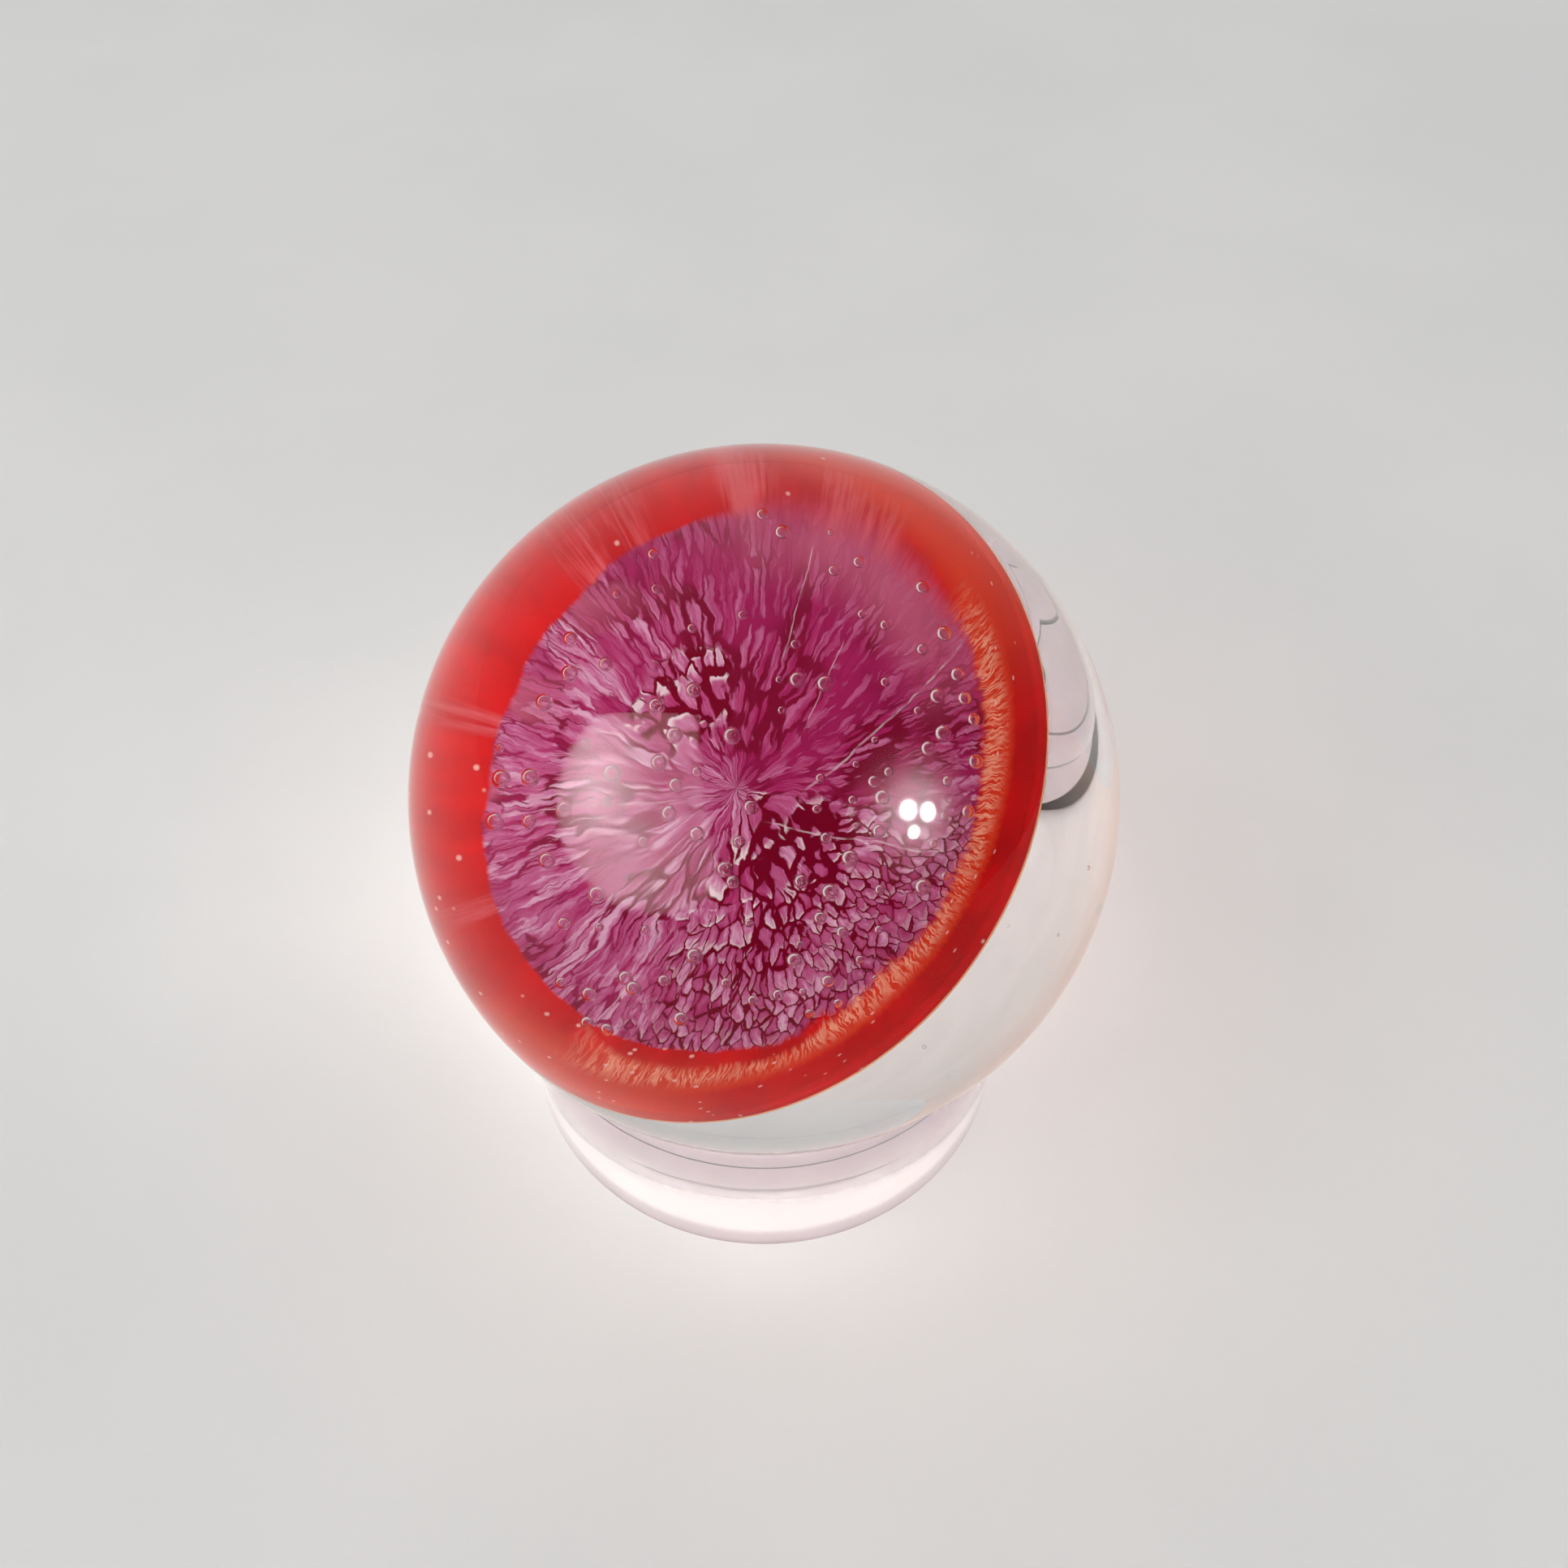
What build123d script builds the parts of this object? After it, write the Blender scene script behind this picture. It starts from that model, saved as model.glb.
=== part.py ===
"""Glass paperweight: a cased studio-glass ball with a coloured, crackled bowl inside, on a clear ring stand.

Millimetres, +Z up. The origin is on the table at the middle of the ring stand's base, and the
paperweight is looked at from the front (-Y). The ball stands on the ring with its pole, the axis
that every glass layer is turned about, leaning to the left and forward.
"""

import os
from math import acos, cos, degrees, pi, radians, sin, sqrt
from random import Random

from build123d import *

# --- driving dimensions ---------------------------------------------------------------------
BALL_DIAMETER = 80.0  # a palm-sized studio weight
POLE_TILT = 34.0  # degrees between the pole and the vertical
POLE_HEADING = 216.0  # degrees, the way the pole leans: left (-X) and forward (-Y)

RING_OUTER_DIAMETER = 63.5  # standard clear tube
RING_WALL = 3.2
RING_HEIGHT = 25.4
RING_EDGE_ROUND = 0.6  # flame-polished edges
SEAT_WIDTH = 1.4  # how far the ground seat reaches out from the bore
SEAT_CLEARANCE = 0.15  # ball to seat

CASING = 1.8  # clear glass outside the rim of the coloured bowl
BOWL_RIM_OFFSET = 13.3  # rim plane above the ball's centre, along the pole
BOWL_BOTTOM_OFFSET = 2.8  # lowest point of the bowl's inside, along the pole
LAYER_GAP = 0.05  # keeps fused layers from sharing volume

SKIN = 0.5  # lilac enamel, and the fringe and rim band level with it
GROUND = 0.5  # crimson layer under the enamel
CUP = 0.8  # red cup under the ground
LINING = 0.25  # opal layer under the cup, seen as a fine edge at the rim
ENAMEL_SHARE = 0.64  # enamel patch radius over rim radius
FRINGE_SHARE = 0.86  # outer edge of the fringe over rim radius
GROUND_LAP = 1.5  # how far the ground runs out under the fringe

BUBBLES = 105
BUBBLE_ZONE = 1.02  # how far out they lie, over the enamel radius
BUBBLE_SHIFT = (3.5, -2.5)  # middle of the cloud of bubbles, from the pole
BUBBLE_DIAMETER = (0.6, 1.5)
BUBBLE_FLOAT = (1.2, 3.5)  # bubble centre above the bowl
BUBBLE_SPACING = 2.2
BUBBLE_SEED = 11

# --- worked out from them -------------------------------------------------------------------
ball_radius = BALL_DIAMETER / 2
ring_radius = RING_OUTER_DIAMETER / 2
bore_radius = ring_radius - RING_WALL
seat_radius = bore_radius + SEAT_WIDTH
centre_height = RING_HEIGHT + sqrt((ball_radius + SEAT_CLEARANCE) ** 2 - seat_radius**2)

colour_radius = ball_radius - CASING
rim_radius = sqrt(colour_radius**2 - BOWL_RIM_OFFSET**2)
bowl_depth = BOWL_RIM_OFFSET - BOWL_BOTTOM_OFFSET
bowl_curve = (rim_radius**2 + bowl_depth**2) / (2 * bowl_depth)
curve_centre = BOWL_BOTTOM_OFFSET + bowl_curve
enamel_radius = rim_radius * ENAMEL_SHARE
fringe_radius = rim_radius * FRINGE_SHARE

pole_frame = Plane(
    origin=(0, 0, centre_height),
    z_dir=(
        sin(radians(POLE_TILT)) * cos(radians(POLE_HEADING)),
        sin(radians(POLE_TILT)) * sin(radians(POLE_HEADING)),
        cos(radians(POLE_TILT)),
    ),
)


def in_ball(radius):
    """A ball about the paperweight's own centre, in the pole frame."""
    return Sphere(radius)


def above_bowl(depth):
    """Everything above the surface that lies `depth` under the inside of the bowl."""
    return Pos(0, 0, curve_centre) * Sphere(bowl_curve + depth)


def layer(top, bottom):
    """A curved sheet of the bowl between two depths, out to the casing."""
    return in_ball(colour_radius) & (above_bowl(bottom) - above_bowl(top))


def core(radius):
    """A column about the pole, for parting one sheet into a patch and a band."""
    return Cylinder(radius, 4 * ball_radius)


def bubble_places():
    """Seeded places for the air bubbles that float just above the bowl, well apart."""
    rng = Random(BUBBLE_SEED)
    places = []
    while len(places) < BUBBLES:
        reach = enamel_radius * BUBBLE_ZONE * sqrt(rng.random())
        turn = 2 * pi * rng.random()
        radius = rng.uniform(*BUBBLE_DIAMETER) / 2
        lift = rng.uniform(*BUBBLE_FLOAT)
        x = BUBBLE_SHIFT[0] + reach * cos(turn)
        y = BUBBLE_SHIFT[1] + reach * sin(turn)
        height = curve_centre - sqrt((bowl_curve - lift) ** 2 - x**2 - y**2)
        place = Vector(x, y, height)
        if all((place - other).length > BUBBLE_SPACING for other, _ in places):
            places.append((place, radius))
    return places


# --- ring stand: a length of clear tube, polished, with a seat ground to the ball -----------
ring = Cylinder(ring_radius, RING_HEIGHT, align=(Align.CENTER, Align.CENTER, Align.MIN))
ring -= Cylinder(bore_radius, RING_HEIGHT, align=(Align.CENTER, Align.CENTER, Align.MIN))
ring = fillet(ring.edges(), RING_EDGE_ROUND)
ring -= Pos(0, 0, centre_height) * Sphere(ball_radius + SEAT_CLEARANCE)

# --- the glass layers, from the bowl's inside down, turned about the pole -------------------
skin_bottom = SKIN
ground_top = skin_bottom + LAYER_GAP
ground_bottom = ground_top + GROUND
cup_top = ground_bottom + LAYER_GAP
cup_bottom = cup_top + CUP
lining_top = cup_bottom + LAYER_GAP
lining_bottom = lining_top + LINING

lilac_crackle = layer(0, skin_bottom) & core(enamel_radius)
orange_fringe = (layer(0, skin_bottom) & core(fringe_radius)) - core(enamel_radius + LAYER_GAP)
crimson_ground = layer(ground_top, ground_bottom) & core(enamel_radius + GROUND_LAP)

# The red cup fills the sheet under the ground, and rises round it and round the fringe.
red_cup = layer(0, cup_bottom)
red_cup -= above_bowl(skin_bottom + LAYER_GAP) & core(fringe_radius + LAYER_GAP)
red_cup -= above_bowl(cup_top) & core(enamel_radius + GROUND_LAP + LAYER_GAP)

opal_lining = layer(lining_top, lining_bottom)

# --- clear casing, in two gathers that meet at the level of the bowl ------------------------
clear_dome = in_ball(ball_radius) & above_bowl(-LAYER_GAP)
for place, radius in bubble_places():
    clear_dome -= Pos(place) * Sphere(radius)

clear_base = in_ball(ball_radius) - above_bowl(0)
clear_base -= in_ball(colour_radius + LAYER_GAP) & above_bowl(lining_bottom + LAYER_GAP)

os.makedirs("parts", exist_ok=True)
export_step(ring, "parts/ring_stand.step")
for name, solid in {
    "clear_base": clear_base,
    "opal_lining": opal_lining,
    "red_cup": red_cup,
    "orange_fringe": orange_fringe,
    "crimson_ground": crimson_ground,
    "lilac_crackle": lilac_crackle,
    "clear_dome": clear_dome,
}.items():
    export_step(pole_frame.location * solid, f"parts/{name}.step")

lean = degrees(acos(pole_frame.z_dir.Z))
print(f"ball {BALL_DIAMETER:.1f} mm, centre {centre_height:.2f} mm up, pole {lean:.0f} degrees over")
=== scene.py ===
import math
import random

import bmesh
import bpy
from mathutils import Matrix, Vector


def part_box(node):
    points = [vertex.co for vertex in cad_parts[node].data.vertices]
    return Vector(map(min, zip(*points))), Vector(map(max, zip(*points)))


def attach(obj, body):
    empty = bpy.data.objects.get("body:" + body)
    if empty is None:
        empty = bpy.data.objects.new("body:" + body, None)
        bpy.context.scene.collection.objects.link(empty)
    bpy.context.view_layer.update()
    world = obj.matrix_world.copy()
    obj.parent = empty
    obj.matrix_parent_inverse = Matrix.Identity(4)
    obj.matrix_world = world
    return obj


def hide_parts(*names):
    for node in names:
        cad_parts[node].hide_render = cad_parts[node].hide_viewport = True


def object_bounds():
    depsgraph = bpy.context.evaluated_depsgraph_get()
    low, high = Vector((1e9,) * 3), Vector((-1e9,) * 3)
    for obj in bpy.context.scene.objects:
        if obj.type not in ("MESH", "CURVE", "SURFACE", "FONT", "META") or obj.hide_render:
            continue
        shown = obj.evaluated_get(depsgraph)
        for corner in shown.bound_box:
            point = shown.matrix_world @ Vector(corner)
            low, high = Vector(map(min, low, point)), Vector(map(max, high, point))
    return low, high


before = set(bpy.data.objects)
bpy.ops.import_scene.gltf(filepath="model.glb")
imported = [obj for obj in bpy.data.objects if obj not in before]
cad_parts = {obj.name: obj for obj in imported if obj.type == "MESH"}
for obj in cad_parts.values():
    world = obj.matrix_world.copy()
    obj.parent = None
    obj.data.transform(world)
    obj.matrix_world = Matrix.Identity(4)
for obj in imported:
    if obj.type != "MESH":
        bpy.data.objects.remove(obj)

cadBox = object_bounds()
mm = 0.001
scene = bpy.context.scene

# the ball's own frame: z along its leaning pole, origin at its centre
ballShape = {"poleTilt": 34.0, "poleHeading": 216.0, "subdivisions": 7}  # angles in degrees
ballRadius = (cadBox[1][0] - cadBox[0][0]) / 2
ballCentre = Vector((0, 0, cadBox[1][2] - ballRadius))
tilt, heading = (math.radians(ballShape[k]) for k in ("poleTilt", "poleHeading"))
pole = Vector((math.sin(tilt) * math.cos(heading), math.sin(tilt) * math.sin(heading), math.cos(tilt)))
acrossPole = (Vector((1, 0, 0)) - pole * pole.x).normalized()
poleFrame = Matrix.Translation(ballCentre) @ Matrix((acrossPole, pole.cross(acrossPole), pole)).transposed().to_4x4()
print("ball", round(ballRadius / mm, 2), "mm, centre", round(ballCentre.z / mm, 2), "mm up")


# camera
cameraSet = {"elevation": 51.0, "distance": 0.1808, "lens": 36.06, "right": 0.0022, "up": 0.00168, "roll": 0.9}


def makeCamera():
    data = bpy.data.cameras.new("deskCamera")
    data.sensor_width = 36.0
    data.lens = cameraSet["lens"]
    camera = bpy.data.objects.new("deskCamera", data)
    scene.collection.objects.link(camera)
    lift, roll = math.radians(cameraSet["elevation"]), math.radians(cameraSet["roll"])
    back = Vector((0, -math.cos(lift), math.sin(lift)))
    right = Vector((1, 0, 0))
    up = back.cross(right)
    right, up = right * math.cos(roll) + up * math.sin(roll), up * math.cos(roll) - right * math.sin(roll)
    turn = Matrix((right, up, back)).transposed().to_4x4()
    place = ballCentre + back * cameraSet["distance"] + right * cameraSet["right"] + up * cameraSet["up"]
    camera.matrix_world = Matrix.Translation(place) @ turn
    data.clip_start = 0.005
    scene.camera = camera


makeCamera()
print("camera set")


# node helpers
def addNode(tree, kind, inputs=None, **settings):
    node = tree.nodes.new(kind)
    for key, value in settings.items():
        setattr(node, key, value)
    for key, value in (inputs or {}).items():
        if isinstance(value, bpy.types.NodeSocket):
            tree.links.new(value, node.inputs[key])
        else:
            node.inputs[key].default_value = value
    return node


def calc(tree, operation, a, b=0.0, c=0.0):
    return addNode(tree, "ShaderNodeMath", {0: a, 1: b, 2: c}, operation=operation).outputs[0]


def ramp(tree, value, low, high, outLow=0.0, outHigh=1.0):
    node = addNode(tree, "ShaderNodeMapRange", {"Value": value, "From Min": low, "From Max": high,
                                                "To Min": outLow, "To Max": outHigh})
    node.interpolation_type = "SMOOTHSTEP"
    return node.outputs[0]


def blendColour(tree, factor, a, b):
    node = addNode(tree, "ShaderNodeMix", data_type="RGBA")
    for index, value in ((0, factor), (6, a), (7, b)):
        if isinstance(value, bpy.types.NodeSocket):
            tree.links.new(value, node.inputs[index])
        else:
            node.inputs[index].default_value = value if index == 0 else (*value, 1.0)
    return node.outputs[2]


def vector(tree, operation, a, b=None, scale=None):
    inputs = {0: a}
    if b is not None:
        inputs[1] = b
    if scale is not None:
        inputs["Scale"] = scale
    node = addNode(tree, "ShaderNodeVectorMath", inputs, operation=operation)
    return node.outputs["Value" if operation in ("LENGTH", "DOT_PRODUCT") else "Vector"]


def noise(tree, where, scale, detail=2.0, rough=0.5, warp=0.0):
    return addNode(tree, "ShaderNodeTexNoise", {"Vector": where, "Scale": scale, "Detail": detail,
                                                "Roughness": rough, "Distortion": warp}).outputs[0]


def startMaterial(name):
    material = bpy.data.materials.new(name)
    material.use_nodes = True
    tree = material.node_tree
    tree.nodes.clear()
    shader = addNode(tree, "ShaderNodeBsdfPrincipled")
    out = addNode(tree, "ShaderNodeOutputMaterial", {"Surface": shader.outputs[0]})
    return material, tree, shader, out


def letLampsThrough(tree, shader, out, tint):
    # coloured glass throws a tinted, not a black, shadow
    path = addNode(tree, "ShaderNodeLightPath").outputs["Is Shadow Ray"]
    clear = addNode(tree, "ShaderNodeBsdfTransparent", {0: (*tint, 1)}).outputs[0]
    mixed = addNode(tree, "ShaderNodeMixShader", {0: path, 1: shader.outputs[0], 2: clear})
    tree.links.new(mixed.outputs[0], out.inputs["Surface"])


def poleCoords(tree):
    # millimetres in the ball's own frame: the place, its direction round the pole and its distance from it
    coords = addNode(tree, "ShaderNodeTexCoord").outputs["Object"]
    mapped = addNode(tree, "ShaderNodeMapping", {"Vector": coords, "Location": ballCentre,
                                                 "Rotation": poleFrame.to_euler(), "Scale": (mm, mm, mm)},
                     vector_type="TEXTURE").outputs[0]
    flat = vector(tree, "MULTIPLY", mapped, (1, 1, 0))
    return mapped, vector(tree, "NORMALIZE", flat), vector(tree, "LENGTH", flat), flat


def finishPiece(name, bm, body, materials, nodes, matrix=None):
    if matrix is not None:
        bmesh.ops.transform(bm, matrix=matrix, verts=bm.verts)
    mesh = bpy.data.meshes.new(name)
    bm.to_mesh(mesh)
    bm.free()
    for polygon in mesh.polygons:
        polygon.use_smooth = True
    piece = bpy.data.objects.new(name, mesh)
    scene.collection.objects.link(piece)
    for material in materials:
        mesh.materials.append(material)
    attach(piece, body)
    if nodes:
        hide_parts(*nodes)
    return piece


# clear glass
glassSet = {
    "tint": (0.945, 0.942, 0.932), "cord": (0.895, 0.900, 0.885), "cordScale": 0.075, "cordSquash": 2.6,
    "ior": 1.5, "shine": 0.22,
    "ringTint": (0.95, 0.93, 0.94), "ringFoot": (0.46, 0.39, 0.42), "footHeight": 2.2,
    "ringIor": 1.25, "ringShine": 0.3,
}


def clearGlass(name, tint, ior, shine):
    material, _, shader, _ = startMaterial(name)
    shader.inputs["Base Color"].default_value = (*tint, 1)
    shader.inputs["Roughness"].default_value = 0.0
    shader.inputs["IOR"].default_value = ior
    shader.inputs["Specular Tint"].default_value = (shine, shine, shine, 1)
    shader.inputs["Transmission Weight"].default_value = 1.0
    return material


ballGlass = clearGlass("ballGlass", glassSet["tint"], glassSet["ior"], glassSet["shine"])
ringGlass = clearGlass("ringGlass", glassSet["ringTint"], glassSet["ringIor"], glassSet["ringShine"])


def swirlGlass():
    # faint cords of slightly denser glass, wound round the pole as the gather was turned
    tree = ballGlass.node_tree
    wound = vector(tree, "MULTIPLY", poleCoords(tree)[0], (1.0, 1.0, glassSet["cordSquash"]))
    cords = noise(tree, wound, glassSet["cordScale"], 3.0, 0.5, 1.4)
    tint = blendColour(tree, ramp(tree, cords, 0.42, 0.62), glassSet["tint"], glassSet["cord"])
    tree.links.new(tint, tree.nodes["Principled BSDF"].inputs["Base Color"])


def tintFoot():
    # the ring's glass is tinted a darker pinkish grey towards its foot, with a cloudy edge to the band
    tree = ringGlass.node_tree
    coords = addNode(tree, "ShaderNodeTexCoord").outputs["Object"]
    height = calc(tree, "DIVIDE", addNode(tree, "ShaderNodeSeparateXYZ", {0: coords}).outputs[2], mm)
    cloud = noise(tree, coords, 160.0, 2.0)
    foot = ramp(tree, calc(tree, "MULTIPLY_ADD", cloud, 0.8, height), glassSet["footHeight"] + 0.4, 0.2)
    tint = blendColour(tree, foot, glassSet["ringTint"], glassSet["ringFoot"])
    tree.links.new(tint, tree.nodes["Principled BSDF"].inputs["Base Color"])


swirlGlass()
tintFoot()


# solid ball of clear glass, both gathers in one
def makeBall():
    bm = bmesh.new()
    bmesh.ops.create_icosphere(bm, subdivisions=ballShape["subdivisions"], radius=ballRadius)
    ball = finishPiece("glassBall", bm, "orb", [ballGlass], ["clear_dome", "clear_base"],
                       Matrix.Translation(ballCentre))
    ball.visible_shadow = False  # lamps shine through it


makeBall()
print("ball made")

# bowl of coloured layers, spun about the pole
bowlSet = {
    "casing": 1.8, "rimOffset": 13.3, "bottomOffset": 2.8, "skin": 0.5, "ground": 0.5, "cup": 0.8,
    "lining": 0.25, "gap": 0.012, "enamelShare": 0.64, "fringeShare": 0.86, "groundLap": 1.5,
    "cornerRun": 0.02, "weld": 0.002, "steps": 256,
    "roughness": 0.45, "opalRoughness": 0.5, "relief": 0.3, "reliefStrength": 0.45,
}
colourRadius = ballRadius / mm - bowlSet["casing"]
rimRadius = math.sqrt(colourRadius ** 2 - bowlSet["rimOffset"] ** 2)
bowlDepth = bowlSet["rimOffset"] - bowlSet["bottomOffset"]
bowlCurve = (rimRadius ** 2 + bowlDepth ** 2) / (2 * bowlDepth)
curveCentre = bowlSet["bottomOffset"] + bowlCurve
enamelRadius = rimRadius * bowlSet["enamelShare"]
fringeRadius = rimRadius * bowlSet["fringeShare"]


def bowlHeight(reach, depth=0.0):
    return curveCentre - math.sqrt((bowlCurve + depth) ** 2 - reach ** 2)


def rimReach(depth):
    # how far out a layer of this depth meets the casing
    curve = bowlCurve + depth
    height = (colourRadius ** 2 + curveCentre ** 2 - curve ** 2) / (2 * curveCentre)
    return math.sqrt(colourRadius ** 2 - height ** 2)


def layerRun(start, end, depth, step=1.0):
    count = max(2, round(abs(end - start) / step))
    run = [start + (end - start) * i / count for i in range(count + 1)]
    near = math.copysign(bowlSet["cornerRun"], end - start)  # keeps the smooth shading of a corner to its edge
    run = run[:1] + [start + near] + run[1:-1] + [end - near] + run[-1:]
    return [(reach, bowlHeight(reach, depth)) for reach in run]


def spinLayer(name, profile, body, materials, nodes):
    bm = bmesh.new()
    verts = [bm.verts.new((reach * mm, 0, height * mm)) for reach, height in profile]
    edges = [bm.edges.new((a, b)) for a, b in zip(verts, verts[1:])]
    if profile[0][0] > 0:
        edges.append(bm.edges.new((verts[-1], verts[0])))
    bmesh.ops.spin(bm, geom=verts + edges, cent=(0, 0, 0), axis=(0, 0, 1), angle=math.tau,
                   steps=bowlSet["steps"], use_merge=True)
    bmesh.ops.remove_doubles(bm, verts=bm.verts, dist=bowlSet["weld"] * mm)
    bmesh.ops.recalc_face_normals(bm, faces=bm.faces)
    piece = finishPiece(name, bm, body, materials, nodes, poleFrame)
    piece.visible_diffuse = False  # room light reaches the desk through it
    return piece


# colours of the bowl, all worked from the same pole coordinates so that they run on from layer to layer
# the pale pearl colour paints the threads and also the painted highlight on the open cells
colourSet = {
    "gap": (0.16, 0.0, 0.012), "magenta": (0.33, 0.010, 0.085), "lilac": (0.50, 0.120, 0.265),
    "paleLilac": (0.66, 0.37, 0.50), "paleThreadAndHighlight": (0.74, 0.56, 0.60), "veil": (0.46, 0.085, 0.165),
    "red": (0.62, 0.001, 0.002), "redDeep": (0.47, 0.0, 0.001), "orange": (0.66, 0.032, 0.004),
    "fringe": (0.68, 0.034, 0.010), "fringePale": (0.86, 0.34, 0.22), "seed": (0.85, 0.45, 0.40),
    "smoke": (0.66, 0.13, 0.15),
    "opal": (0.84, 0.43, 0.24), "opalDeep": (0.78, 0.31, 0.15), "shadow": (0.99, 0.965, 0.965),
    "patchShift": (2.5, -1.5, 0.0), "patchRadius": 22.8, "fringeOut": 30.6,
}
# pale threads drawn over the enamel: angle and reach of both ends, width
threadSet = {
    "right": (-16, 4.7, 22, 24.6, 0.15), "upper": (72, 10, 69, 20, 0.08),
    "lowerRight": (-70, 3, -24, 22, 0.11), "lower": (-118, 12, -121, 25, 0.12),
    "left": (186, 2, 181, 17, 0.07), "lowerLeft": (-150, 5, -142, 19, 0.06),
    "upperRight": (38, 6, 50, 14, 0.06),
}
# wisps of smoke in the red: angle, half widths of the full and the faded part, reach where it ends and is full
smokeSet = {
    "upperRight": (60.0, 7.0, 13.0, 31.0, 25.0), "upper": (86.0, 2.0, 8.0, 33.0, 24.0),
    "upperLeft": (118.0, 3.0, 12.0, 32.0, 24.0), "left": (162.0, 0.5, 3.0, 29.0, 24.0),
    "lowerLeft": (-159.0, 0.5, 3.5, 29.0, 22.0),
}


def radialPlace(tree, direction, reach, around, along, offset=0.0):
    # a place on a drum round the pole: features are as many as `around` asks for and 1 / `along` mm long
    drum = vector(tree, "SCALE", direction, scale=around)
    height = calc(tree, "MULTIPLY_ADD", reach, along, offset)
    lift = addNode(tree, "ShaderNodeCombineXYZ", {"Z": height}).outputs[0]
    return vector(tree, "ADD", drum, lift)


def towards(tree, direction, degrees, narrow, wide):
    # 1 in the sector about this angle, 0 outside it
    aim = (math.cos(math.radians(degrees)), math.sin(math.radians(degrees)), 0)
    return ramp(tree, vector(tree, "DOT_PRODUCT", direction, aim),
                math.cos(math.radians(wide)), math.cos(math.radians(narrow)))


def flip(tree, value):
    return calc(tree, "SUBTRACT", 1.0, value)


def both(tree, a, b):
    return calc(tree, "MULTIPLY", a, b)


def either(tree, a, b):
    return calc(tree, "MAXIMUM", a, b)


def lerp(tree, factor, a, b):
    return calc(tree, "ADD", both(tree, a, flip(tree, factor)), both(tree, b, factor))


def cellField(tree, direction, reach, rings):
    # cells in rings (around, along, from, to) that hand over to each other: distance to the crack, a tone for
    # each cell, and how far out in its cell a place is
    field = None
    for index, (around, along, start, end) in enumerate(rings):
        spot = radialPlace(tree, direction, reach, around, along, 9.0 * index + around)
        edge = addNode(tree, "ShaderNodeTexVoronoi", {"Vector": spot, "Scale": 1.0},
                       feature="DISTANCE_TO_EDGE").outputs["Distance"]
        cell = addNode(tree, "ShaderNodeTexVoronoi", {"Vector": spot, "Scale": 1.0})
        tone = addNode(tree, "ShaderNodeSeparateXYZ", {0: cell.outputs["Color"]}).outputs[0]
        away = vector(tree, "SUBTRACT", spot, cell.outputs["Position"])
        outer = addNode(tree, "ShaderNodeSeparateXYZ", {0: away}).outputs[2]
        ring = (edge, tone, outer)
        if field is None:
            field = ring
        else:
            over = ramp(tree, reach, start, end)
            field = tuple(lerp(tree, over, old, fresh) for old, fresh in zip(field, ring))
    return field


def onPlane(degrees):
    return Vector((math.cos(math.radians(degrees)), math.sin(math.radians(degrees)), 0))


def threadLines(tree, flat):
    lines = None
    for fromAngle, fromReach, toAngle, toReach, width in threadSet.values():
        start, end = onPlane(fromAngle) * fromReach, onPlane(toAngle) * toReach
        run = (end - start).normalized()
        side = Vector((-run.y, run.x, 0))
        across = calc(tree, "ABSOLUTE", vector(tree, "DOT_PRODUCT", vector(tree, "SUBTRACT", flat, start), side))
        fromMiddle = vector(tree, "SUBTRACT", flat, (start + end) / 2)
        middle = calc(tree, "ABSOLUTE", vector(tree, "DOT_PRODUCT", fromMiddle, run))
        half = (end - start).length / 2
        line = both(tree, ramp(tree, across, width, width * 0.3), ramp(tree, middle, half, half * 0.8))
        lines = line if lines is None else either(tree, lines, line)
    return lines


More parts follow.
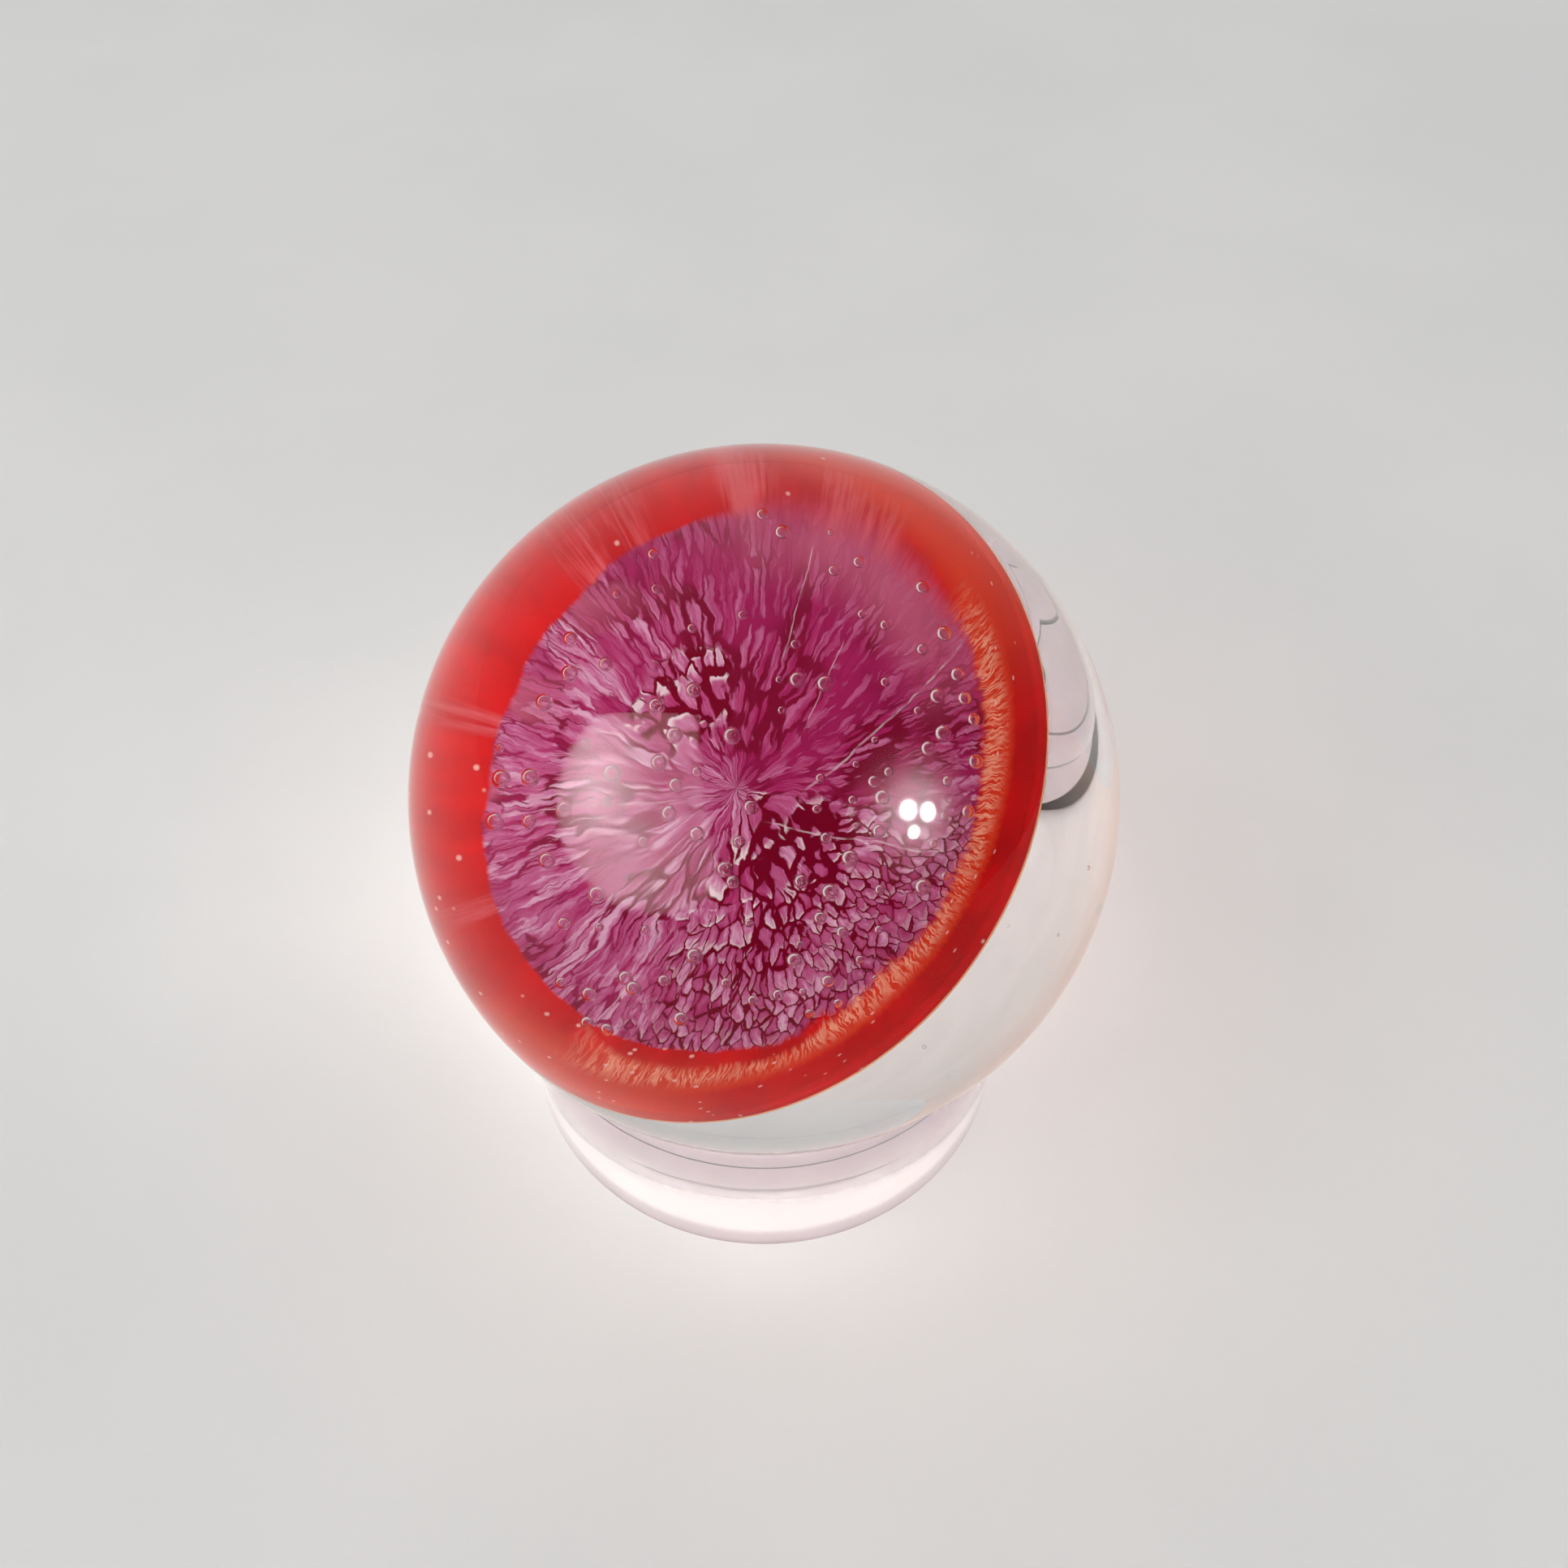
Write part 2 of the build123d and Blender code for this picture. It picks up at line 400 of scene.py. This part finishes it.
def bowlColour(tree):
    c = colourSet
    place, direction, reach, flat = poleCoords(tree)
    # the streaks wander a little, and the cracks are serrated
    wander = addNode(tree, "ShaderNodeTexNoise", {"Vector": place, "Scale": 0.16, "Detail": 2.0}).outputs["Color"]
    serrate = addNode(tree, "ShaderNodeTexNoise", {"Vector": place, "Scale": 1.1, "Detail": 2.0}).outputs["Color"]
    shift = vector(tree, "ADD", vector(tree, "SCALE", vector(tree, "SUBTRACT", wander, (0.5, 0.5, 0.5)), scale=2.6),
                   vector(tree, "SCALE", vector(tree, "SUBTRACT", serrate, (0.5, 0.5, 0.5)), scale=0.62))
    centred = vector(tree, "ADD", flat, (1.0, 0.0, 0.0))  # the streaks meet a little to the left of the pole
    bent = vector(tree, "MULTIPLY", vector(tree, "ADD", centred, shift), (1, 1, 0))
    bentDirection = vector(tree, "NORMALIZE", bent)
    bentReach = vector(tree, "LENGTH", bent)
    low = noise(tree, place, 0.18, 2.0)
    mid = noise(tree, place, 0.55, 2.0)

    # noise drawn out along the radii: broad, fine and hair-like
    broad = noise(tree, radialPlace(tree, bentDirection, bentReach, 6.0, 0.09, 40.0), 1.0, 3.0, 0.55)
    fine = noise(tree, radialPlace(tree, bentDirection, bentReach, 26.0, 0.30), 1.0, 4.0, 0.62)
    hair = noise(tree, radialPlace(tree, direction, reach, 66.0, 0.16), 1.0, 2.0, 0.5)
    fuzz = noise(tree, radialPlace(tree, bentDirection, reach, 125.0, 0.40), 1.0, 2.0, 0.5)

    # sectors of the patch
    openCells = towards(tree, direction, -64.0, 24.0, 66.0)
    openCells = either(tree, openCells, both(tree, towards(tree, direction, 126.0, 8.0, 36.0),
                                             both(tree, ramp(tree, reach, 4.0, 7.0), ramp(tree, reach, 14.0, 10.5))))
    openCells = ramp(tree, calc(tree, "MULTIPLY_ADD", calc(tree, "SUBTRACT", mid, 0.5), 1.4, openCells), 0.34, 0.60)
    darkSide = both(tree, towards(tree, direction, 38.0, 20.0, 95.0), ramp(tree, reach, 21.0, 14.0))
    lightSide = towards(tree, direction, 195.0, 25.0, 100.0)

    # open cells towards the lower right, drawn-out cells elsewhere
    openEdge, openTone, openOuter = cellField(tree, bentDirection, bentReach, [
        (2.6, 0.26, 0, 0), (5.6, 0.38, 5.0, 7.0), (12.5, 0.56, 9.0, 11.0), (24.0, 0.50, 13.5, 15.5)])
    drawnEdge, drawnTone = cellField(tree, bentDirection, bentReach, [
        (3.2, 0.34, 0, 0), (8.0, 0.28, 3.5, 6.5), (16.0, 0.25, 8.5, 11.0), (29.0, 0.27, 14.0, 17.0)])[:2]
    ragged = calc(tree, "SUBTRACT", fine, 0.5)
    openWidth = both(tree, ramp(tree, low, 0.35, 0.68, 0.04, 0.13), ramp(tree, reach, 20.0, 7.0, 0.62, 1.15))
    openRagged = calc(tree, "MULTIPLY_ADD", ragged, 0.12, openEdge)
    openCover = ramp(tree, calc(tree, "SUBTRACT", openRagged, openWidth), -0.012, 0.03)
    drawnWidth = ramp(tree, calc(tree, "MULTIPLY_ADD", low, 0.6, both(tree, broad, 0.6)), 0.40, 0.85)
    drawnWidth = calc(tree, "MULTIPLY_ADD", drawnWidth, 0.13, 0.015)
    drawnWidth = calc(tree, "ADD", drawnWidth, both(tree, darkSide, 0.05))
    drawnWidth = calc(tree, "SUBTRACT", drawnWidth, both(tree, lightSide, 0.035))
    drawnRagged = calc(tree, "MULTIPLY_ADD", ragged, 0.36, drawnEdge)
    drawnCover = ramp(tree, calc(tree, "SUBTRACT", drawnRagged, drawnWidth), -0.02, 0.05)

    # how light each flake is
    streak = calc(tree, "MULTIPLY_ADD", fine, 0.60, both(tree, broad, 0.42))
    drawnLight = calc(tree, "ADD", calc(tree, "MULTIPLY_ADD", drawnTone, 0.40, -0.06),
                      calc(tree, "ADD", ramp(tree, streak, 0.38, 0.64, 0.0, 0.52), both(tree, lightSide, 0.20)))
    drawnLight = calc(tree, "SUBTRACT", drawnLight, both(tree, darkSide, 0.12))
    openLight = calc(tree, "ADD", calc(tree, "MULTIPLY_ADD", openTone, 0.45, 0.10),
                     calc(tree, "ADD", ramp(tree, openEdge, 0.06, 0.42, 0.0, 0.22),
                          ramp(tree, fine, 0.4, 0.7, 0.0, 0.35)))
    light = lerp(tree, openCells, drawnLight, openLight)
    flake = blendColour(tree, ramp(tree, light, 0.0, 0.85), c["magenta"], c["lilac"])
    pale = ramp(tree, calc(tree, "MULTIPLY_ADD", hair, 0.45, light), 0.78, 1.25, 0.0, 0.9)
    flake = blendColour(tree, pale, flake, c["paleLilac"])
    streakFine = noise(tree, radialPlace(tree, bentDirection, bentReach, 46.0, 0.24, 70.0), 1.0, 3.0, 0.6)
    darkLines = both(tree, ramp(tree, streakFine, 0.48, 0.37, 0.0, 0.8), flip(tree, openCells))
    flake = blendColour(tree, darkLines, flake, c["magenta"])
    # painted highlight: a pale sickle on the outer end of each open cell stands in for light caught on the raised
    # cells
    paintedSickleHighlight = both(tree, ramp(tree, openOuter, 0.02, 0.26), ramp(tree, openEdge, 0.30, 0.14))
    paintedSickleHighlight = both(tree, both(tree, paintedSickleHighlight, ramp(tree, openTone, 0.15, 0.4)),
                  both(tree, openCells, ramp(tree, reach, 18.0, 9.0, 0.30, 1.0)))
    flake = blendColour(tree, paintedSickleHighlight, flake, c["paleThreadAndHighlight"])
    crackDeep = either(tree, openCells, ramp(tree, low, 0.42, 0.6, 0.15, 0.85))
    crack = blendColour(tree, crackDeep, c["magenta"], c["gap"])
    cover = lerp(tree, openCells, drawnCover, openCover)
    enamel = blendColour(tree, cover, crack, flake)

    # a milky veil blurs the cracks near the edge, most towards the upper right
    veil = both(tree, ramp(tree, reach, 14.5, 20.0), towards(tree, direction, 55.0, 18.0, 52.0))
    veil = either(tree, veil, both(tree, both(tree, ramp(tree, reach, 15.0, 20.0), ramp(tree, low, 0.50, 0.62)),
                                   towards(tree, direction, 150.0, 10.0, 70.0)))
    veil = both(tree, veil, ramp(tree, broad, 0.25, 0.6, 0.5, 0.9))
    enamel = blendColour(tree, veil, enamel, c["veil"])
    threadPlace = vector(tree, "ADD", flat, vector(tree, "SCALE", shift, scale=0.4))
    thread = both(tree, threadLines(tree, threadPlace), ramp(tree, mid, 0.38, 0.55, 0.12, 0.55))
    enamel = blendColour(tree, thread, enamel, c["paleThreadAndHighlight"])

    # the fringe: pale hairs over orange-red, strongest next to the enamel
    fringeBase = blendColour(tree, ramp(tree, broad, 0.35, 0.65), c["orange"], c["fringe"])
    fringeFade = ramp(tree, reach, c["fringeOut"] - 0.5, c["patchRadius"] + 4.5)
    hairs = both(tree, ramp(tree, fuzz, 0.46, 0.58), ramp(tree, mid, 0.3, 0.6, 0.65, 1.0))
    hairs = either(tree, hairs, both(tree, ramp(tree, hair, 0.50, 0.66), 0.6))
    fringe = blendColour(tree, both(tree, hairs, fringeFade), fringeBase, c["fringePale"])

    # the red, orange in two broad places and streaked with pale smoke
    red = blendColour(tree, ramp(tree, broad, 0.3, 0.7), c["redDeep"], c["red"])
    warm = either(tree, towards(tree, direction, 46.0, 14.0, 44.0), towards(tree, direction, -116.0, 8.0, 34.0))
    red = blendColour(tree, both(tree, warm, ramp(tree, reach, 24.0, 28.0)), red, c["orange"])
    smoke = None
    for degrees, narrow, wide, far, near in smokeSet.values():
        wisp = both(tree, towards(tree, direction, degrees, narrow, wide), ramp(tree, reach, far, near))
        smoke = wisp if smoke is None else either(tree, smoke, wisp)
    smoke = both(tree, smoke, ramp(tree, calc(tree, "MULTIPLY_ADD", hair, 0.6, broad), 0.60, 1.0, 0.0, 0.7))
    red = blendColour(tree, smoke, red, c["smoke"])

    # where the patch, the fringe and the red meet: crisp on the left, feathered on the right
    fromPatch = vector(tree, "LENGTH", vector(tree, "SUBTRACT", flat, c["patchShift"]))
    feathered = towards(tree, direction, -2.0, 50.0, 105.0)
    feather = calc(tree, "ADD", calc(tree, "MULTIPLY_ADD", hair, 2.6, -1.3),
                   calc(tree, "MULTIPLY_ADD", broad, 3.0, -1.5))
    feather = both(tree, feather, calc(tree, "MULTIPLY_ADD", feathered, 0.88, 0.12))
    wave = calc(tree, "MULTIPLY_ADD", low, 1.3, -0.65)
    border = calc(tree, "ADD", calc(tree, "SUBTRACT", fromPatch, c["patchRadius"]),
                  calc(tree, "ADD", feather, wave))
    soft = calc(tree, "MULTIPLY_ADD", either(tree, feathered, towards(tree, direction, 58.0, 16.0, 44.0)), 0.75, 0.22)
    soft = calc(tree, "ADD", soft, both(tree, towards(tree, direction, 56.0, 10.0, 34.0), 1.6))
    outOfPatch = ramp(tree, calc(tree, "DIVIDE", border, soft), -1.0, 1.0)
    fringeSide = towards(tree, direction, -46.0, 62.0, 80.0)
    # red shows between the patch and the fringe here
    fringeStart = both(tree, towards(tree, direction, -92.0, 12.0, 34.0), 2.2)
    inRed = ramp(tree, calc(tree, "MULTIPLY_ADD", hair, 1.6, reach), c["fringeOut"] - 0.2, c["fringeOut"] + 1.4)
    pastBorder = calc(tree, "SUBTRACT", calc(tree, "SUBTRACT", border, 0.3), fringeStart)
    inRed = either(tree, inRed, ramp(tree, pastBorder, 0.8, -0.8))
    inRed = either(tree, inRed, flip(tree, fringeSide))
    outside = blendColour(tree, inRed, fringe, red)

    # tiny seeds in the red and the fringe, thickest at the lower left
    seeds = addNode(tree, "ShaderNodeTexVoronoi", {"Vector": place, "Scale": 0.62})
    seedTone = addNode(tree, "ShaderNodeSeparateXYZ", {0: seeds.outputs["Color"]}).outputs[1]
    thick = ramp(tree, vector(tree, "DOT_PRODUCT", direction, (-0.64, -0.77, 0)), -0.4, 0.9, 0.80, 0.45)
    seed = both(tree, ramp(tree, seeds.outputs["Distance"], 0.20, 0.09),
                ramp(tree, calc(tree, "SUBTRACT", seedTone, thick), 0.0, 0.05, 0.0, 0.8))
    outside = blendColour(tree, seed, outside, c["seed"])
    colour = blendColour(tree, outOfPatch, enamel, outside)
    relief = both(tree, both(tree, cover, flip(tree, veil)), flip(tree, outOfPatch))
    relief = calc(tree, "MULTIPLY_ADD", hair, 0.25, relief)
    return colour, relief


def bowlMaterial(name):
    material, tree, shader, out = startMaterial(name)
    colour, relief = bowlColour(tree)
    bump = addNode(tree, "ShaderNodeBump", {"Height": relief, "Strength": bowlSet["reliefStrength"],
                                            "Distance": bowlSet["relief"] * mm})
    tree.links.new(colour, shader.inputs["Base Color"])
    tree.links.new(bump.outputs[0], shader.inputs["Normal"])
    shader.inputs["Roughness"].default_value = bowlSet["roughness"]
    shader.inputs["Specular IOR Level"].default_value = 0.0
    letLampsThrough(tree, shader, out, colourSet["shadow"])
    return material


def opalMaterial(name):
    material, tree, shader, out = startMaterial(name)
    direction, reach = poleCoords(tree)[1:3]
    broad = noise(tree, radialPlace(tree, direction, reach, 6.0, 0.08), 1.0, 3.0)
    hair = noise(tree, radialPlace(tree, direction, reach, 50.0, 0.15), 1.0, 2.0)
    tone = ramp(tree, calc(tree, "MULTIPLY_ADD", hair, 0.5, broad), 0.5, 1.0)
    colour = blendColour(tree, tone, colourSet["opalDeep"], colourSet["opal"])
    tree.links.new(colour, shader.inputs["Base Color"])
    shader.inputs["Roughness"].default_value = bowlSet["opalRoughness"]
    shader.inputs["Specular IOR Level"].default_value = 0.0
    letLampsThrough(tree, shader, out, colourSet["shadow"])
    return material


enamelMaterial = bowlMaterial("crackledEnamel")
groundMaterial = bowlMaterial("crimsonGround")
fringeMaterial = bowlMaterial("featheredFringe")
redMaterial = bowlMaterial("redGlass")
liningMaterial = opalMaterial("opalLining")


def makeBowl():
    b = bowlSet
    groundTop = b["skin"] + b["gap"]
    groundBottom = groundTop + b["ground"]
    cupTop = groundBottom + b["gap"]
    cupBottom = cupTop + b["cup"]
    liningTop = cupBottom + b["gap"]
    liningBottom = liningTop + b["lining"]
    groundReach = enamelRadius + b["groundLap"]
    rim = rimReach(0)
    enamel = spinLayer("enamelCrackle", layerRun(0, enamelRadius, 0) + layerRun(enamelRadius, 0, b["skin"]),
                       "orb", [enamelMaterial], ["lilac_crackle"])
    fringe = spinLayer("fringeBand", layerRun(enamelRadius, fringeRadius, 0)
                       + layerRun(fringeRadius, enamelRadius, b["skin"]),
                       "orb", [fringeMaterial], ["orange_fringe"])
    ground = spinLayer("crimsonDisc", layerRun(0, groundReach, groundTop) + layerRun(groundReach, 0, groundBottom),
                       "orb", [groundMaterial], ["crimson_ground"])
    cup = spinLayer("redCup", layerRun(0, groundReach + b["gap"], cupTop)
                    + layerRun(groundReach + b["gap"], fringeRadius, groundTop)
                    + layerRun(fringeRadius, rim, 0) + layerRun(rimReach(cupBottom), 0, cupBottom),
                    "orb", [redMaterial], ["red_cup"])
    lining = spinLayer("opalCup", layerRun(0, rimReach(liningTop), liningTop)
                       + layerRun(rimReach(liningBottom), 0, liningBottom),
                       "orb", [liningMaterial], ["opal_lining"])


makeBowl()
print("bowl made")

# air bubbles trapped over the bowl
bubbleSet = {
    "count": 105, "width": (0.6, 1.5), "floatHeight": (1.2, 3.5), "spacing": 2.2, "seed": 11,
    "zone": 1.02, "shift": (3.5, -2.5), "facets": 3,
    "seeds": 26, "seedWidth": (0.25, 0.5), "seedReach": (20.0, 37.0), "seedHeight": (-24.0, 8.0),
    "seedUnderBowl": 3.5, "seedInBall": 1.0, "seedFacets": 2,
}


def bubblePlaces():
    rng = random.Random(bubbleSet["seed"])
    places = []
    while len(places) < bubbleSet["count"]:
        reach = enamelRadius * bubbleSet["zone"] * math.sqrt(rng.random())
        turn = 2 * math.pi * rng.random()
        radius = rng.uniform(*bubbleSet["width"]) / 2
        lift = rng.uniform(*bubbleSet["floatHeight"])
        x = bubbleSet["shift"][0] + reach * math.cos(turn)
        y = bubbleSet["shift"][1] + reach * math.sin(turn)
        height = curveCentre - math.sqrt((bowlCurve - lift) ** 2 - x ** 2 - y ** 2)
        place = Vector((x, y, height))
        if all((place - other).length > bubbleSet["spacing"] for other, _ in places):
            places.append((place, radius))
    return places


def seedPlaces():
    # far smaller seeds in the clear glass beside and under the bowl
    rng = random.Random(bubbleSet["seed"] + 1)
    places = []
    while len(places) < bubbleSet["seeds"]:
        reach, turn = rng.uniform(*bubbleSet["seedReach"]), rng.uniform(0, 2 * math.pi)
        height = rng.uniform(*bubbleSet["seedHeight"])
        radius = rng.uniform(*bubbleSet["seedWidth"]) / 2
        underBowl = height < bowlHeight(min(reach, rimRadius)) - bubbleSet["seedUnderBowl"]
        if underBowl and math.hypot(reach, height) < ballRadius / mm - bubbleSet["seedInBall"]:
            places.append((Vector((reach * math.cos(turn), reach * math.sin(turn), height)), radius))
    return places


def makeBubbles():
    bm = bmesh.new()
    for place, radius in bubblePlaces():
        bmesh.ops.create_icosphere(bm, subdivisions=bubbleSet["facets"], radius=radius * mm,
                                   matrix=Matrix.Translation(place * mm))
    for place, radius in seedPlaces():
        bmesh.ops.create_icosphere(bm, subdivisions=bubbleSet["seedFacets"], radius=radius * mm,
                                   matrix=Matrix.Translation(place * mm))
    bmesh.ops.reverse_faces(bm, faces=bm.faces)  # air inside glass: the glass faces into the bubble
    bubbles = finishPiece("airBubbles", bm, "orb", [ballGlass], [], poleFrame)
    bubbles.visible_shadow = False


makeBubbles()
print("bubbles made")

# ring stand
ringSet = {"wall": 3.2, "round": 0.6, "roundSteps": 4, "seat": 1.4, "weld": 0.001, "steps": 288}


def onCircle(edge, reach, height):
    return all(abs(v.co.xy.length - reach) < 1e-5 and abs(v.co.z - height) < 1e-5 for v in edge.verts)


def makeRing():
    low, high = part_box("ring_stand")
    outside, top = (high[0] - low[0]) / 2, high[2]
    bore = outside - ringSet["wall"] * mm
    seatOut = bore + ringSet["seat"] * mm
    seatDrop = math.sqrt(ballRadius ** 2 - bore ** 2) - math.sqrt(ballRadius ** 2 - seatOut ** 2)
    bm = bmesh.new()
    profile = [(bore, 0), (outside, 0), (outside, top), (seatOut, top), (bore, top - seatDrop)]
    verts = [bm.verts.new((reach, 0, height)) for reach, height in profile]
    edges = [bm.edges.new((a, b)) for a, b in zip(verts, verts[1:] + verts[:1])]
    bmesh.ops.spin(bm, geom=verts + edges, cent=(0, 0, 0), axis=(0, 0, 1), angle=math.tau,
                   steps=ringSet["steps"], use_merge=True)
    bmesh.ops.remove_doubles(bm, verts=bm.verts, dist=ringSet["weld"] * mm)
    bmesh.ops.recalc_face_normals(bm, faces=bm.faces)
    corners = [e for e in bm.edges if any(onCircle(e, *p) for p in profile[:3])]
    bmesh.ops.bevel(bm, geom=corners, offset=ringSet["round"] * mm, segments=ringSet["roundSteps"],
                    profile=0.5, affect="EDGES", material=-1)
    ring = finishPiece("ringStand", bm, "stand", [ringGlass], ["ring_stand"])
    ring.visible_shadow = False


makeRing()
print("ring made")


# floor and light
floorSet = {
    "size": 4.0, "drop": 0.0001, "colour": (0.80, 0.795, 0.785), "shade": (0.775, 0.772, 0.765),
    "cloudScale": 14.0, "roughness": 0.9,
}


def makeFloor():
    bm = bmesh.new()
    bmesh.ops.create_grid(bm, x_segments=1, y_segments=1, size=floorSet["size"] / 2,
                          matrix=Matrix.Translation((0, 0, -floorSet["drop"])))
    mesh = bpy.data.meshes.new("deskTop")
    bm.to_mesh(mesh)
    bm.free()
    floor = bpy.data.objects.new("deskTop", mesh)
    scene.collection.objects.link(floor)
    material, tree, shader, _ = startMaterial("deskPaint")
    coords = addNode(tree, "ShaderNodeTexCoord").outputs["Object"]
    cloud = noise(tree, coords, floorSet["cloudScale"], 3.0)
    colour = blendColour(tree, ramp(tree, cloud, 0.35, 0.65), floorSet["shade"], floorSet["colour"])
    tree.links.new(colour, shader.inputs["Base Color"])
    shader.inputs["Roughness"].default_value = floorSet["roughness"]
    shader.inputs["Specular IOR Level"].default_value = 0.0
    mesh.materials.append(material)


# sky and bulb light the desk; window and lamp are what the ball mirrors, soft towards their edges
lightSet = {
    "sky": {"aim": (-0.62, -0.50, 0.60), "far": 3.0, "size": (2.4, 2.4), "power": 55.0, "roll": 0.0},
    "bulb": {"aim": (0.68, -0.46, 0.57), "far": 2.8, "size": (0.6, 0.6), "power": 6.5, "roll": 0.0},
    "window": {"aim": (-0.60, -0.515, 0.50), "far": 2.9, "size": (2.9, 3.2), "power": 760.0, "roll": 43.0},
    "lamp": {"aim": (0.675, -0.455, 0.495), "far": 2.6, "size": (2.2, 2.2), "power": 1700.0, "roll": 0.0},
}
roomSet = {
    "low": 0.30, "high": 0.60, "toward": (-0.75, 0.55, 0.35), "colour": (0.97, 0.985, 1.0),
    "lightColour": (1.0, 0.985, 0.97),
}


def lightFace(data):
    # the place on the light's own face, from -1 to 1 both ways, and its emission
    data.use_nodes = True
    tree = data.node_tree
    spot = addNode(tree, "ShaderNodeNewGeometry").outputs["Parametric"]
    spot = vector(tree, "MULTIPLY", vector(tree, "SUBTRACT", spot, (0.5, 0.5, 0.0)), (2, 2, 0))
    return tree, spot, tree.nodes["Emission"].inputs["Strength"]


def distance(tree, spot, centre, stretch=(1, 1, 1)):
    return vector(tree, "LENGTH", vector(tree, "MULTIPLY", vector(tree, "SUBTRACT", spot, centre), stretch))


def paneLook(data):
    tree, spot, strength = lightFace(data)
    pane = ramp(tree, distance(tree, spot, (0.40, 0.10, 0), (0.74, 0.86, 1)), 1.0, 0.88)
    across = addNode(tree, "ShaderNodeSeparateXYZ", {0: spot}).outputs[0]
    pane = both(tree, pane, ramp(tree, across, 0.92, 0.80))
    bright = calc(tree, "ADD", ramp(tree, distance(tree, spot, (-0.32, 0.42, 0)), 0.75, 0.0, 0.0, 1.0),
                  ramp(tree, distance(tree, spot, (-0.15, -0.25, 0)), 0.9, 0.1, 0.30, 0.75))
    tree.links.new(both(tree, pane, bright), strength)


def lampLook(data):
    tree, spot, strength = lightFace(data)
    glow = ramp(tree, distance(tree, spot, (0, 0, 0)), 1.0, 0.15, 0.0, 0.07)
    halo = ramp(tree, distance(tree, spot, (0.02, 0, 0)), 0.60, 0.05, 0.0, 0.22)
    core = ramp(tree, distance(tree, spot, (-0.03, 0.05, 0)), 0.14, 0.05, 0.0, 3.5)
    spark = ramp(tree, distance(tree, spot, (0.16, -0.13, 0)), 0.13, 0.04, 0.0, 3.5)
    glint = ramp(tree, distance(tree, spot, (-0.12, -0.20, 0)), 0.09, 0.03, 0.0, 5.0)
    total = calc(tree, "ADD", calc(tree, "ADD", glow, halo),
                 calc(tree, "ADD", core, calc(tree, "ADD", spark, glint)))
    tree.links.new(total, strength)


def makeLights():
    for name, s in lightSet.items():
        data = bpy.data.lights.new(name, "AREA")
        data.shape = "RECTANGLE"
        data.size, data.size_y = s["size"]
        data.energy = s["power"]
        data.color = roomSet["lightColour"]
        light = bpy.data.objects.new(name, data)
        scene.collection.objects.link(light)
        aim = Vector(s["aim"]).normalized()
        roll = Matrix.Rotation(math.radians(s["roll"]), 4, "Z")
        turn = aim.to_track_quat("Z", "Y").to_matrix().to_4x4() @ roll
        light.matrix_world = Matrix.Translation(ballCentre + aim * s["far"]) @ turn
        mirrored = name in ("window", "lamp")
        light.visible_camera = False
        light.visible_diffuse = not mirrored
        light.visible_transmission = False  # it is counted through the clear glass once already
        light.visible_glossy = mirrored
        if name == "window":
            paneLook(data)
        elif name == "lamp":
            lampLook(data)
    world = bpy.data.worlds.new("softRoom")
    world.use_nodes = True
    tree = world.node_tree
    back = tree.nodes["Background"]
    back.inputs["Color"].default_value = (*roomSet["colour"], 1)
    aim = addNode(tree, "ShaderNodeTexCoord").outputs["Generated"]
    toBack = vector(tree, "DOT_PRODUCT", aim, roomSet["toward"])
    tree.links.new(ramp(tree, toBack, -0.6, 0.8, roomSet["low"], roomSet["high"]), back.inputs["Strength"])
    scene.world = world


makeFloor()
makeLights()
scene.view_settings.view_transform = "Standard"
print("floor and light set")
